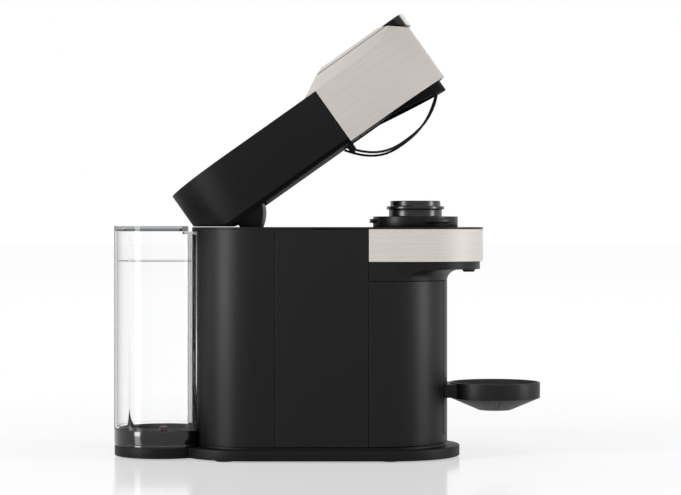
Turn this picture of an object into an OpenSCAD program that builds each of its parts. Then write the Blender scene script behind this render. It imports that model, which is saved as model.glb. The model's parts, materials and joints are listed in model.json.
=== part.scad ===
// Pod coffee machine: a narrow body on a foot plate, a round water tank behind it, a head on a
// long arm that hinges above the tank, a spinning capsule holder, a capsule container and a
// cup support that slides on the container's front. +X is the cup side and +Z is up.

/* [Overall] */
// Depth from the back of the tank to the front of the cup support
overall_l = 429; // [415:1:450]
// Width of the body and the head
body_w = 136; // [134:1:142]
// Height of the deck above the table
deck_z = 230.5; // [226:0.5:240]
// How far the head stands open from its closed place, in degrees
open_angle = 35.3; // [25:0.1:36]

/* [Walls and fits] */
// Wall of the outer shells
wall = 2.5; // [2:0.1:3]
// Gap between two outer shells, seen as a seam
seam = 0.4; // [0.3:0.1:0.8]
// Clearance between moving pieces
clear = 0.5; // [0.4:0.1:0.7]
// Gap under and beside a sliding piece
slide_gap = 0.3; // [0.3:0.1:0.6]
// Radial clearance of a running shaft
running = 0.05; // [0.02:0.01:0.1]

/* [Base] */
// Width of the foot plate
base_w = 142; // [142:1:150]
// Length of the foot plate from its rear round to its front round
base_l = 281.4; // [276:0.2:290]
// Thickness of the foot plate
base_t = 10.5; // [8:0.5:14]
// Height of the rubber feet
foot_t = 1.5; // [1:0.5:4]
// Radius of a rubber foot
foot_r = 9; // [6:0.5:12]
// How far a foot's axis is set in from the plate's long edge
foot_in = 19.9; // [14:0.1:24]
// Height of the recessed plinth under the body
plinth_t = 3; // [2:0.5:5]
// How far the plinth is set back from the body's outline
plinth_inset = 1.5; // [1:0.1:2]
// Radius of a base screw's shank
screw_r = 1.6; // [1.2:0.1:2]
// Radius of a base screw's head
screw_head_r = 3.2; // [2.8:0.1:4]
// Thickness of a base screw's head
screw_head_t = 2; // [1.5:0.1:3]

/* [Body] */
// Distance from the tank's axis to the axis of the body's rear round
tank_reach = 97; // [95:0.5:100]
// Distance from the body's front to the cup support's axis
support_reach = 48; // [48:0.5:52]
// Length of the front part, which the container and the brewing head share
front_l = 80; // [76:1:86]
// Length of the side panels
panel_l = 92; // [84:1:100]
// How far the nose stands out over the container
nose_l = 36; // [32:1:40]
// Length of the finger notch in the deck's edge
notch_l = 34; // [20:1:44]
// Depth of the finger notch
notch_d = 2.3; // [1:0.1:2.4]
// Length of the chute's opening in the deck
chute_l = 61; // [56:1:62]
// Width of the chute's opening
chute_w = 114; // [110:1:118]
// Thickness of the bulkhead between the pump space and the capsule space
bulkhead_t = 3; // [2:0.5:5]

/* [Brewing unit] */
// Height of the nose's underside
nose_z = 188.5; // [186:0.5:191]
// Lower edge of the silver band
band_z = 196.4; // [194:0.1:198]
// Height of the silver band
band_h = 32; // [28:0.5:32]
// Thickness of the silver band
band_t = 2; // [1:0.1:2]
// How far the black nose under the band is set back
nose_inset = 3; // [2:0.5:4]
// Reach of the hollow curve between the nose and the container
cove_l = 15; // [10:0.5:18]
// Radius of the well round the collar tower
moat_r = 63.6; // [63:0.1:64]
// Radius of the collar tower
tower_r = 44; // [43.5:0.1:45]
// Radius of the collar
collar_r = 42.7; // [42:0.1:43]
// Height of the collar above the deck
collar_h = 10.7; // [10:0.1:11]
// How far the bayonet lugs stand out of the collar
lug_out = 3.6; // [3:0.1:4]
// Height of a lug's underside above the deck
lug_z = 4.2; // [4:0.1:5]
// Thickness of a lug
lug_t = 4; // [3:0.1:5]
// Width of a lug, in degrees
lug_span = 34; // [25:1:40]
// Radius of the capsule holder inside the collar
holder_r = 28.5; // [28:0.1:29]
// Depth of the capsule holder's body below the deck
holder_depth = 24.5; // [24:0.5:26]
// Radius of the holder's neck
neck_r = 26.8; // [26:0.1:27.5]
// Height of the neck
neck_h = 7.1; // [6.5:0.1:7.5]
// Radius of the holder's flange
flange_r = 29.1; // [28.5:0.1:29.2]
// Thickness of the holder's flange
flange_t = 3.2; // [2.5:0.1:3.5]
// Radius of the holder's top ring
ring_r = 25.3; // [24.5:0.1:25.5]
// Height of the holder's top ring
ring_h = 5.4; // [5:0.1:5.6]
// Radius of the cup that takes a capsule
cup_r = 21; // [19:0.5:22]
// Depth of that cup
cup_d = 45; // [38:1:46]
// Radius of the holder's shaft
shaft_r = 6; // [5:0.1:7]
// Outer radius of the drum bearing
bearing_r = 13; // [11:0.5:15]
// Height of the drum bearing
bearing_h = 8; // [6:0.5:9]
// Outer radius of the motor
motor_r = 30; // [28:0.5:32]
// Outer radius of the motor's rotor
rotor_r = 16.7; // [14:0.1:18]
// Thickness of the plate under the motor
motor_cover_t = 1.8; // [1.2:0.1:2.5]
// Radius of the coffee spout
spout_r = 7; // [5:0.5:8]
// Length of the coffee spout below the nose
spout_h = 3; // [2:0.5:8]
// Radius of the spout's bore
spout_bore_r = 4; // [2.5:0.1:4.5]

/* [Water tank] */
// Radius of the tank
tank_r = 49.5; // [48:0.5:51]
// Wall of the tank
tank_wall = 2.5; // [2:0.1:3]
// Gap between the tank and the body
tank_gap = 2; // [1:0.1:3]
// Height of the tank's rim
tank_top_z = 226; // [220:0.5:226]
// Underside of the tank's floor
tank_floor_z = 21; // [19:0.5:22]
// Height of the dock's rim above the foot plate
dock_t = 2.2; // [2:0.1:3]
// Top of the tank's foot ring
tank_foot_z = 28.5; // [26:0.5:32]
// Wall of the tank's foot ring
tank_foot_wall = 2; // [1.5:0.1:3]
// Radius of the valve's cap
valve_r = 5.3; // [4:0.1:8]
// Height of the valve above the tank's floor
valve_h = 6; // [4:0.5:8]
// Height of the tank's lid
lid_h = 5.2; // [4:0.1:5.6]
// Distance of the lid's hinge line in front of the tank's axis
lid_hinge_l = 22; // [20:1:24]

/* [Container] */
// Top of the container
cont_top_z = 177; // [170:0.5:178]
// Wall of the capsule bin
bin_wall = 2; // [1.5:0.1:2.5]
// Gap between the bin's round and the container's wall
bin_gap = 1; // [0.8:0.1:2]
// Distance of the capsule bin's rear from the front part's seam
bin_back_l = 56; // [50:1:58]
// Width of the capsule bin
bin_w = 120; // [100:1:122]
// Height of the bin's mouth below the container's top
bin_drop = 5; // [4.5:0.5:10]
// Gap between the bin and the container's front
bin_front_gap = 9; // [8:0.5:14]
// Lower end of the rail
rail_low_z = 24; // [20:1:40]
// Width of the rail on the container's front
rail_w = 50; // [40:1:56]
// Depth of the grooves beside the rail
groove_d = 1.5; // [1:0.1:1.8]
// Width of each groove
groove_w = 2; // [1.5:0.1:3]

/* [Cup support] */
// Radius of the cup support
bowl_r = 45.5; // [44:0.5:48]
// Height of the cup support's top
bowl_top_z = 74.5; // [70:0.5:90]
// Height of the straight rim
bowl_rim_h = 15.5; // [14:0.5:20]
// Height of the cone under the rim
bowl_cone_h = 12.5; // [8:0.5:16]
// Radius of the flat bottom
bowl_flat_r = 16.5; // [10:0.5:22]
// Wall of the bowl
bowl_wall = 2.2; // [1.8:0.1:3]
// Thickness of the cup grid
grid_t = 2.5; // [2:0.1:4]
// Width of a slot in the grid
slot_w = 4; // [3:0.1:5]
// Distance between two slots
slot_pitch = 9; // [8:0.5:12]
// Height of the bracket that rides on the rail
bracket_h = 13.4; // [11:0.2:15]
// Width of the bracket
bracket_w = 46; // [36:1:48]
// Thickness of the bracket's plate
bracket_t = 2.2; // [1.8:0.1:2.4]

/* [Head] */
// Distance of the hinge behind the axis of the body's rear round
hinge_back = 30.7; // [28:0.1:32]
// Height of the hinge above the deck
hinge_up = 14.5; // [14:0.1:16]
// Radius of the hinge drum
hinge_drum_r = 35.9; // [32:0.1:36.5]
// Width of the hinge drum
hinge_drum_w = 100; // [90:1:102]
// Radius of the hinge shaft
hinge_shaft_r = 5; // [4:0.1:6]
// Radius of the hub behind the hinge drum
hinge_hub_r = 10.5; // [8:0.1:10.8]
// Height of the closed arm's top above the deck
arm_h = 60.5; // [58:0.5:62]
// Gap between the closed head and the deck
head_gap = 0.7; // [0.5:0.1:1]
// Thickness of the arm's bottom cover
arm_cover_t = 4; // [3:0.1:5]
// Distance from the hinge to the arm's underside at the heel
heel_r = 14; // [13.5:0.1:14.2]
// Height of the head's cap over the arm's top
cap_h = 17.5; // [15:0.5:20]
// How far the cap reaches back over the arm
cap_back = 13; // [8:0.5:16]
// Length of the cap's rear bevel
cap_rear_l = 32; // [26:0.5:36]
// Length of the cap's flat top
cap_flat_l = 68.7; // [64:0.1:72]
// Width of the cap's flat top
cap_flat_w = 66; // [60:1:72]
// Width of the cap at the side bevel's knee
cap_knee_w = 96; // [90:1:104]
// Height of the side bevel's knee over the arm's top
cap_knee_h = 12; // [9:0.5:13]
// Outer radius of the head's black liner under its edge
liner_r = 62; // [61:0.1:62.2]
// Radius of the liner's wall round the locking ring
liner_wall_r = 57.5; // [57:0.1:58]
// Depth of the liner's front edge below the head
liner_drop = 11.5; // [8:0.5:12.5]
// Distance of the liner's rear end behind the head's axis
liner_back = 11; // [6:0.5:14]
// Inner radius of the locking ring
lock_r = 48; // [47.5:0.1:48.5]
// Height of the locking ring
lock_h = 16; // [12:0.5:18]
// Thickness of the locking ring's tabs
tab_t = 1.7; // [1.2:0.1:1.9]
// Thickness of the injector's plate
injector_t = 4.2; // [3:0.1:5]
// Radius of the injector's shaft
injector_shaft_r = 8; // [6:0.5:9]
// Radius of the injector's needle
needle_r = 1.5; // [1:0.1:2]
// Length of the needle
needle_l = 8; // [6:0.5:10]
// Width of the injector's seal
seal_w = 2.6; // [2:0.1:2.8]
// Height of the injector's seal
seal_h = 4.4; // [3:0.1:4.8]
// Radius of the brew button
button_r = 9; // [7:0.5:11]
// Distance of the button in front of the head's axis
button_front = 12; // [10:0.5:16]
// Travel of the button
button_travel = 1.5; // [1:0.1:2]
// Width of the light ring round the button
light_w = 1.8; // [1:0.1:3]
// Width of the lever
lever_w = 60; // [54:1:62]
// Radius of the lever's front from the head's axis
lever_front_r = 70.4; // [69:0.1:71.5]
// Thickness of the lever's metal tip
lever_tip_t = 5; // [3:0.5:7]
// Gap under the lever
lever_gap = 2.7; // [2.6:0.1:3.2]
// Radius of the lever's pivot
lever_pin_r = 1.5; // [1.2:0.1:1.8]
// Drop of the lever's pivot below the cap's top
pin_drop = 5; // [5:0.1:6]
// Length of the bosses that hold the lever's pivot
boss_l = 6; // [5:0.5:7]
// Thickness of the bosses that hold the lever's pivot
boss_t = 4; // [3:0.5:5]
// Radius of the ejector hoop's rod
hoop_rod_r = 1.2; // [1:0.1:1.5]
// Radius of the hoop's front round
hoop_r = 52; // [51:0.1:52.2]
// Drop of the hoop below the deck when the head is closed
hoop_drop = 29.6; // [26:0.1:30]
// Rise of the hoop's front end above its lowest stretch
hoop_front_rise = 21.1; // [16:0.1:22]

/* [Inner parts] */
// Radius of the pump
pump_r = 20; // [16:0.5:22]
// Height of the pump
pump_h = 70; // [50:1:90]
// Radius of the water heater
heater_r = 24; // [18:0.5:26]
// Height of the water heater
heater_h = 110; // [80:1:130]
// Width of the control board
board_w = 90; // [60:1:110]
// Height of the control board
board_h = 110; // [80:1:130]
// Thickness of the control board
board_t = 1.6; // [1:0.1:2]
// Radius of the flow meter
meter_r = 11; // [8:0.5:12]
// Height of the flow meter
meter_h = 16; // [12:0.5:24]
// Gap between the units inside the rear of the body
unit_gap = 1; // [0.8:0.1:2]
// Radius of the pump's and the heater's outlet
outlet_r = 6; // [4:0.5:8]
// Height of the pump's and the heater's outlet
outlet_h = 12; // [8:0.5:16]
// Height of the control board's lower edge above the plinth
board_up = 60; // [40:1:80]
// Length of the control board's standoffs
standoff_l = 8; // [6:0.5:10]
// Radius of the control board's standoffs
standoff_r = 3; // [2:0.5:4]
// How far the standoffs are set in from the board's edges
standoff_in = 8; // [6:0.5:12]
// Rise of the water hose above the outlets
hose_rise = 30; // [20:1:40]
// How far the head hose starts in front of the hinge drum, and how far it arches up
hose_arch = 14; // [10:1:16]
// How far the head hose bows to the side
hose_bow = 24; // [20:1:28]
// Height of the injector's hub
hub_h = 12; // [10:0.5:14]
// Gap under the capsule holder
holder_gap = 2; // [1:0.5:3]
// Gap between the motor and the bearing above it
motor_gap = 3; // [2:0.5:5]
// Outer radius of a water hose
hose_r = 3; // [2:0.1:4]
// Outer radius of the cord gland
gland_r = 6; // [5:0.1:8]
// Radius of the cord gland's bore
gland_bore_r = 3.5; // [3:0.1:4]
// Length of the cord gland
gland_l = 9; // [7:0.5:10]
// Height of the cord gland above the table
gland_z = 27; // [24:0.5:60]
// Direction of the cord gland round the rear, in degrees from the front
gland_angle = 125; // [110:1:135]

/* [Hidden] */
$fn = 96;
eps = 0.01;
far = 500;
body_r = body_w / 2;
base_r = base_w / 2;
tank_x = tank_r - overall_l / 2;
rear_cx = tank_x + tank_reach;
rear_x = rear_cx - body_r;
support_x = overall_l / 2 - bowl_r;
cont_x = support_x - support_reach;
front_cx = cont_x - body_r;
seam_x = cont_x - front_l;
side_x = seam_x - panel_l;
brew_x = front_cx + nose_l;
base_rear_x = rear_cx - (base_r - body_r) * 3;
base_front_x = base_rear_x + base_l - base_w;
base_top = foot_t + base_t;
body_z = base_top + plinth_t;
deck_t = wall;
deck_low = deck_z - deck_t;
chute_back_x = seam_x - chute_l;
bulk_x = chute_back_x - bulkhead_t - clear;
board_x = bulk_x - standoff_l - board_t;
pump_at = [board_x - pump_r - unit_gap, pump_r + 4 * unit_gap];
heater_at = [board_x - heater_r - unit_gap, -heater_r - unit_gap];
meter_at = [rear_x + wall + meter_r + unit_gap, 4 * unit_gap];
pump_top = body_z + pump_h + outlet_h;
heater_top = body_z + heater_h + outlet_h;
house_x = seam_x + seam;
house_z = cont_top_z + clear;
band_r = body_r - band_t;
band_top = band_z + band_h;
motor_z = house_z + motor_cover_t;
well_z = deck_z - holder_depth - holder_gap;
motor_top = well_z - bearing_h - motor_gap;
well_r = flange_r + clear / 2;
collar_top = deck_z + collar_h;
neck_top = collar_top + neck_h;
flange_top = neck_top + flange_t;
ring_top = flange_top + ring_h;
dock_top = base_top + dock_t;
tank_notch_r = body_r + tank_gap;
tank_rim_z = tank_top_z + clear / 2;
lid_x = tank_x + lid_hinge_l;
cont_z = body_z + slide_gap;
cont_floor = cont_z + wall;
bin_x = seam_x - bin_back_l;
bin_front_x = cont_x - bin_front_gap;
bin_top = cont_top_z - bin_drop;
rail_r = body_r - groove_d;
bowl_rim_z = bowl_top_z - bowl_rim_h;
bowl_low = bowl_rim_z - bowl_cone_h;
bracket_low = bowl_rim_z + 1;
bracket_r = body_r + slide_gap;
hinge_x = rear_cx - hinge_back;
hinge_z = deck_z + hinge_up;
arm_z = deck_z + head_gap;
arm_top = deck_z + arm_h;
arm_shell_z = arm_z + arm_cover_t;
cover_step = 0.6;
cap_top = arm_top + cap_h;
cap_x = seam_x - cap_back;
cap_rear_x = cap_x + cap_rear_l;
cap_front_x = cap_rear_x + cap_flat_l;
cap_slope = cap_h / (brew_x + body_r - cap_front_x);
inject_z = ring_top + 0.4;
inject_top = inject_z + injector_t;
frame_z = inject_top + clear;
frame_t = 3;
lock_z = arm_z + 1.3;
tab_r = collar_r + 1;
button_x = brew_x + button_front;
pin_x = cap_front_x + 3.3;
pin_z = cap_top - pin_drop;
lever_top = cap_top - 1;
stem_low = cap_top - 5.5;
lever_pin_l = lever_w + 2 * (clear + boss_t - 1);
black = [0.13, 0.13, 0.14];
gloss_black = [0.08, 0.08, 0.09];
silver = [0.74, 0.75, 0.76];
steel = [0.6, 0.61, 0.63];
clear_blue = [0.82, 0.88, 0.92, 0.35];
rubber = [0.1, 0.1, 0.1];
white = [0.93, 0.93, 0.9];
green = [0.1, 0.35, 0.18];

// Slab between two heights, with a plan as its child
module slab(low, high) {
    translate([0, 0, low]) linear_extrude(high - low) children();
}

// Long plan with a round end at each centre
module stadium(back_cx, fore_cx, r) {
    translate([back_cx, -r]) square([fore_cx - back_cx, 2 * r]);
    translate([back_cx, 0]) circle(r);
    translate([fore_cx, 0]) circle(r);
}

// Plan that is straight from x and has a round front at cx
module front_plan(x, cx, r) {
    intersection() {
        union() {
            translate([x, -r]) square([cx - x, 2 * r]);
            translate([cx, 0]) circle(r);
        }
        translate([x, -r]) square([far, 2 * r]);
    }
}

// Plan of the deck behind the front seam
module rear_plan(x, r) {
    intersection() {
        stadium(rear_cx, x, r);
        translate([-far, -r]) square([far + x, 2 * r]);
    }
}

module ring_plan(r_out, r_in) {
    difference() {
        circle(r_out);
        circle(r_in);
    }
}

// Plan of the tank, set in by a distance
module tank_plan(inset) {
    difference() {
        translate([tank_x, 0]) circle(tank_r - inset);
        translate([rear_cx, 0]) circle(tank_notch_r + inset);
    }
}

// Outline in X and Z as a slab across the width
module side_slab(points, w) {
    rotate([90, 0, 0]) linear_extrude(w, center = true) polygon(points);
}

// Children turn with the head from its closed place to its rest
module opened() {
    translate([hinge_x, 0, hinge_z]) rotate([0, -open_angle, 0])
        translate([-hinge_x, 0, -hinge_z]) children();
}

// Space under the heel that the open arm has to leave free
module heel_cut(reach) {
    for (a = [open_angle / 2, open_angle])
        translate([hinge_x, 0, hinge_z]) rotate([0, a, 0])
            translate([-far, -far / 2, -far - reach]) cube([far + 60, far, far]);
}

// Direction across a path's tangent, level with the table
function side_of(t) = let (s = cross(t, [0, 0, 1])) s / norm(s);
function path_dir(p, i) = let (d = p[min(i + 1, len(p) - 1)] - p[max(i - 1, 0)]) d / norm(d);

// Round rod of radius r along a path of points
module rod(p, r) {
    n = 8;
    points = [
        for (i = [0:len(p) - 1])
            let (t = path_dir(p, i), s = side_of(t), u = cross(s, t))
            for (k = [0:n - 1]) p[i] + r * (cos(360 * k / n) * s + sin(360 * k / n) * u)
    ];
    walls = [
        for (i = [0:len(p) - 2])
            for (k = [0:n - 1])
                let (m = (k + 1) % n)
                [i * n + k, (i + 1) * n + k, (i + 1) * n + m, i * n + m]
    ];
    ends = [[for (k = [0:n - 1]) k], [for (k = [n - 1:-1:0]) (len(p) - 1) * n + k]];
    polyhedron(points, concat(walls, ends));
}

// --- Base and body ---

module base_feet_at() {
    for (x = [base_rear_x - base_r / 3, base_front_x])
        for (y = [-1, 1])
            translate([x, y * (base_r - foot_in), 0]) children();
}

module base_screws_at() {
    for (x = [rear_cx, front_cx])
        for (y = [-1, 1])
            translate([x, y * base_r / 2, 0]) children();
}

module base_plate() {
    color(black) difference() {
        union() {
            slab(foot_t, base_top) stadium(base_rear_x, base_front_x, base_r);
            slab(foot_t, base_top) translate([tank_x, 0]) circle(tank_r - clear);
            slab(base_top, body_z) stadium(rear_cx, front_cx, body_r - plinth_inset);
        }
        base_screws_at() cylinder(h = foot_t + screw_head_t + 1, r = screw_head_r + 0.1);
        base_screws_at() cylinder(h = base_top, r = screw_r + 0.05);
    }
}

module rubber_feet() {
    color(rubber) base_feet_at() cylinder(h = foot_t, r = foot_r);
}

module base_screws() {
    color(steel) base_screws_at() translate([0, 0, foot_t + 1]) union() {
        cylinder(h = screw_head_t, r = screw_head_r);
        cylinder(h = base_t - 2, r = screw_r);
    }
}

module cord_gland_at() {
    translate([rear_cx, 0, gland_z]) rotate([0, 0, gland_angle]) rotate([0, 90, 0]) children();
}

module rear_shell() {
    color(black) difference() {
        slab(body_z, deck_low) rear_plan(side_x - seam / 2, body_r);
        slab(body_z - 1, deck_low + 1) rear_plan(side_x + 1, body_r - wall);
        cord_gland_at() cylinder(h = body_w, r = gland_r + running);
    }
}

module side_panel(side) {
    y = side > 0 ? body_r - wall : -body_r;
    color(black) slab(body_z, deck_low)
        translate([side_x + seam / 2, y]) square([panel_l - seam, wall]);
}

module side_panel_left() {
    side_panel(1);
}

module side_panel_right() {
    side_panel(-1);
}

module top_deck() {
    notch_r = (notch_l * notch_l / 4 + notch_d * notch_d) / (2 * notch_d);
    color(black) difference() {
        slab(deck_low, deck_z) rear_plan(seam_x, body_r);
        slab(deck_low - 1, deck_z + 1) translate([chute_back_x, -chute_w / 2]) square([chute_l + 1, chute_w]);
        for (y = [-1, 1])
            translate([(side_x + seam_x) / 2, y * body_r, deck_z - notch_d + notch_r])
                rotate([90, 0, 0]) cylinder(h = 2 * wall, r = notch_r, center = true);
    }
}

module bulkhead() {
    color(black) slab(body_z, deck_low)
        translate([bulk_x, seam - body_r + wall]) square([bulkhead_t, body_w - 2 * wall - 2 * seam]);
}

module cord_gland() {
    color(rubber) cord_gland_at() difference() {
        translate([0, 0, body_r - wall - 1]) union() {
            cylinder(h = gland_l, r = gland_r);
            translate([0, 0, -2]) cylinder(h = 2.2, r = gland_r + 2);
        }
        cylinder(h = body_w, r = gland_bore_r);
    }
}

// --- Brewing unit ---

module cove() {
    steps = 12;
    curve = [
        for (i = [0:steps])
            let (a = 90 * i / steps)
            [body_r + cove_l * (1 - cos(a)), house_z + (nose_z - house_z) * sin(a)]
    ];
    intersection() {
        translate([front_cx, 0, 0]) rotate_extrude()
            polygon(concat([[tower_r, house_z]], curve,
                           [[body_r + cove_l, nose_z + 1], [tower_r, nose_z + 1]]));
        slab(house_z, nose_z + 1) front_plan(house_x, brew_x, body_r - nose_inset);
    }
}

module brew_housing() {
    beam_w = wall;
    beam_y = body_r - wall - seam / 2;
    color(black) difference() {
        union() {
            slab(house_z, band_z) front_plan(house_x, front_cx, body_r);
            slab(nose_z, band_z) front_plan(house_x, brew_x, body_r - nose_inset);
            slab(band_z - eps, deck_z) front_plan(house_x, brew_x, band_r);
            slab(band_top + 0.1, deck_z) front_plan(house_x, brew_x, body_r);
            cove();
            for (y = [-beam_y, beam_y - beam_w])
                translate([bulk_x + bulkhead_t, y, nose_z]) cube([house_x - bulk_x, beam_w, band_z - nose_z]);
        }
        slab(band_z, deck_z + 1) difference() {
            front_plan(house_x - 1, brew_x, moat_r);
            translate([brew_x, 0]) circle(tower_r);
        }
        translate([brew_x, 0, 0]) {
            slab(well_z, deck_z + 1) circle(well_r);
            slab(well_z - bearing_h, well_z + 1) circle(bearing_r + running);
            slab(house_z, deck_z) circle(shaft_r + clear);
            slab(house_z - 1, motor_top) circle(motor_r + running);
        }
        translate([spout_x(), 0, house_z]) cylinder(h = band_z - house_z + 1, r = spout_bore_r);
    }
}

function spout_x() = brew_x + (moat_r + tower_r) / 2;

module silver_band() {
    color(silver) slab(band_z, band_top) difference() {
        front_plan(house_x, brew_x, body_r);
        front_plan(house_x - 1, brew_x, band_r + eps);
    }
}

module lugs_at() {
    for (i = [0:2])
        rotate([0, 0, 120 * i + 60]) children();
}

module arc_plan(r_out, r_in, span) {
    intersection() {
        ring_plan(r_out, r_in);
        polygon([[0, 0], far * [cos(span / 2), -sin(span / 2)], far * [cos(span / 2), sin(span / 2)]]);
    }
}

module collar() {
    color(black) translate([brew_x, 0, 0]) union() {
        slab(deck_z, collar_top) ring_plan(collar_r, well_r);
        slab(deck_z + lug_z, deck_z + lug_z + lug_t)
            lugs_at() arc_plan(collar_r + lug_out, collar_r - 1, lug_span);
    }
}

module capsule_holder() {
    color(black) translate([brew_x, 0, 0]) difference() {
        union() {
            slab(deck_z - holder_depth, collar_top) circle(holder_r);
            slab(collar_top - eps, neck_top) circle(neck_r);
            slab(neck_top - eps, flange_top) circle(flange_r);
            slab(flange_top - eps, ring_top) circle(ring_r);
            slab(motor_z + 1, deck_z - holder_depth + eps) circle(shaft_r);
        }
        slab(ring_top - cup_d, ring_top + 1) circle(cup_r);
    }
}

module drum_bearing() {
    color(steel) translate([brew_x, 0, 0]) slab(well_z - bearing_h, well_z)
        ring_plan(bearing_r, shaft_r + running);
}

module motor_stator() {
    color(steel) translate([brew_x, 0, 0]) slab(motor_z, motor_top)
        ring_plan(motor_r, rotor_r + clear);
}

module motor_rotor() {
    color([0.55, 0.35, 0.2]) translate([brew_x, 0, 0]) slab(motor_z + 1, motor_top - 1)
        ring_plan(rotor_r, shaft_r);
}

module motor_cover() {
    color(black) translate([brew_x, 0, 0]) slab(house_z, motor_z) circle(motor_r);
}

module coffee_spout() {
    color(black) translate([spout_x(), 0, nose_z - spout_h]) difference() {
        cylinder(h = spout_h, r1 = spout_r - 1.5, r2 = spout_r);
        translate([0, 0, -1]) cylinder(h = spout_h + 2, r = spout_bore_r);
    }
}

// --- Water tank ---

module tank_dock() {
    color(black) union() {
        slab(base_top, dock_top) tank_plan(clear);
        translate([tank_x, 0, base_top]) cylinder(h = tank_floor_z - base_top - clear, r = valve_r + 3);
    }
}

module tank_foot() {
    color(gloss_black) slab(dock_top + seam / 2, tank_foot_z) difference() {
        tank_plan(0);
        tank_plan(tank_foot_wall);
    }
}

module water_tank() {
    color(clear_blue) difference() {
        union() {
            slab(tank_foot_z, tank_top_z) tank_plan(0);
            slab(tank_floor_z, tank_foot_z + eps) tank_plan(tank_foot_wall + running);
        }
        slab(tank_floor_z + tank_wall, tank_foot_z + tank_wall + eps) tank_plan(tank_foot_wall + tank_wall);
        slab(tank_foot_z + tank_wall, tank_top_z + 1) tank_plan(tank_wall);
    }
    color(clear_blue) slab(tank_top_z - tank_wall, tank_top_z) difference() {
        tank_plan(eps);
        translate([-far + lid_x, -far / 2]) square([far, far]);
    }
}

module tank_valve() {
    floor_z = tank_floor_z + tank_wall;
    color([0.25, 0.05, 0.04]) translate([tank_x, 0, floor_z]) rotate_extrude()
        polygon([[0, 0], [valve_r / 2, 0], [valve_r / 2, valve_h / 3], [valve_r, valve_h / 2],
                 [valve_r * 0.75, valve_h], [0, valve_h]]);
}

module tank_lid() {
    color(clear_blue) difference() {
        slab(tank_rim_z, tank_rim_z + lid_h) intersection() {
            tank_plan(0);
            translate([-far + lid_x, -far / 2]) square([far, far]);
        }
        slab(tank_rim_z - 1, tank_rim_z + lid_h - tank_wall) intersection() {
            tank_plan(tank_wall);
            translate([-far + lid_x - tank_wall, -far / 2]) square([far, far]);
        }
    }
}

// --- Container and cup support ---

module container_shell() {
    color(black) difference() {
        slab(cont_z, cont_top_z) front_plan(house_x, front_cx, body_r);
        slab(cont_floor, cont_top_z - wall) front_plan(house_x - 1, front_cx, body_r - wall);
        slab(rail_low_z, cont_top_z + 1) intersection() {
            translate([front_cx, 0]) ring_plan(body_r + 1, rail_r);
            translate([front_cx, -rail_w / 2 - groove_w]) square([body_w, rail_w + 2 * groove_w]);
        }
    }
}

module bin_plan(inset) {
    intersection() {
        front_plan(bin_x + inset, front_cx, body_r - wall - bin_gap - inset);
        translate([bin_x + inset, inset - bin_w / 2])
            square([bin_front_x - bin_x - 2 * inset, bin_w - 2 * inset]);
    }
}

module capsule_bin() {
    color(black) difference() {
        slab(cont_floor, bin_top) bin_plan(0);
        slab(cont_floor + bin_wall, bin_top + 1) bin_plan(bin_wall);
    }
}

module front_rail() {
    color(black) slab(rail_low_z, cont_top_z) intersection() {
        translate([front_cx, 0]) ring_plan(body_r, rail_r);
        translate([front_cx, -rail_w / 2]) square([body_w, rail_w]);
    }
}

module support_bracket() {
    color(black) slab(bracket_low, bracket_low + bracket_h) difference() {
        intersection() {
            union() {
                translate([front_cx, 0]) circle(bracket_r + bracket_t);
                translate([front_cx, -bracket_w / 2]) square([support_x - front_cx - bowl_r / 2, bracket_w]);
            }
            translate([front_cx, -bracket_w / 2]) square([body_w, bracket_w]);
        }
        translate([front_cx, 0]) circle(bracket_r);
        translate([support_x, 0]) circle(bowl_r + running);
    }
}

module drip_bowl() {
    inner_r = bowl_r - bowl_wall;
    seat_z = bowl_top_z - grid_t;
    color(black) translate([support_x, 0, 0]) rotate_extrude() polygon([
        [0, bowl_low], [bowl_flat_r, bowl_low], [bowl_r, bowl_rim_z], [bowl_r, bowl_top_z],
        [inner_r, bowl_top_z], [inner_r, seat_z], [inner_r - 1.5, seat_z - 0.5],
        [inner_r - 1.5, bowl_rim_z + 1], [bowl_flat_r - 1, bowl_low + bowl_wall], [0, bowl_low + bowl_wall]
    ]);
}

module cup_grid() {
    grid_r = bowl_r - bowl_wall - 0.3;
    rows = floor((grid_r - slot_w) / slot_pitch);
    color(steel) translate([support_x, 0, 0]) slab(bowl_top_z - grid_t, bowl_top_z) difference() {
        circle(grid_r);
        for (i = [-rows:rows])
            let (y = i * slot_pitch, l = sqrt(pow(grid_r - slot_w, 2) - y * y))
            translate([-l, y - slot_w / 2]) square([2 * l, slot_w]);
    }
}

// --- Hinge and arm ---

module hinge_drum() {
    front_dir = 48;
    color(black) translate([hinge_x, 0, hinge_z]) rotate([90, 0, 0])
        linear_extrude(hinge_drum_w, center = true) difference() {
            union() {
                circle(hinge_hub_r);
                intersection() {
                    circle(hinge_drum_r);
                    polygon([[0, 0], far * [cos(front_dir), -sin(front_dir)], [far, far], [0, far]]);
                    translate([-far, -hinge_up]) square(2 * far);
                }
            }
            circle(hinge_shaft_r + running / 2);
        }
}

module hinge_axis_at() {
    translate([hinge_x, 0, hinge_z]) rotate([90, 0, 0]) children();
}

function pin_end() = sqrt(pow(body_r - wall, 2) - pow(hinge_back, 2)) - 1;

module hinge_shaft() {
    color(steel) hinge_axis_at() cylinder(h = 2 * pin_end(), r = hinge_shaft_r, center = true);
}

module arm_outer(low, r) {
    difference() {
        slab(low, arm_top) rear_plan(seam_x, r);
        heel_cut(heel_r);
    }
}

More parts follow.
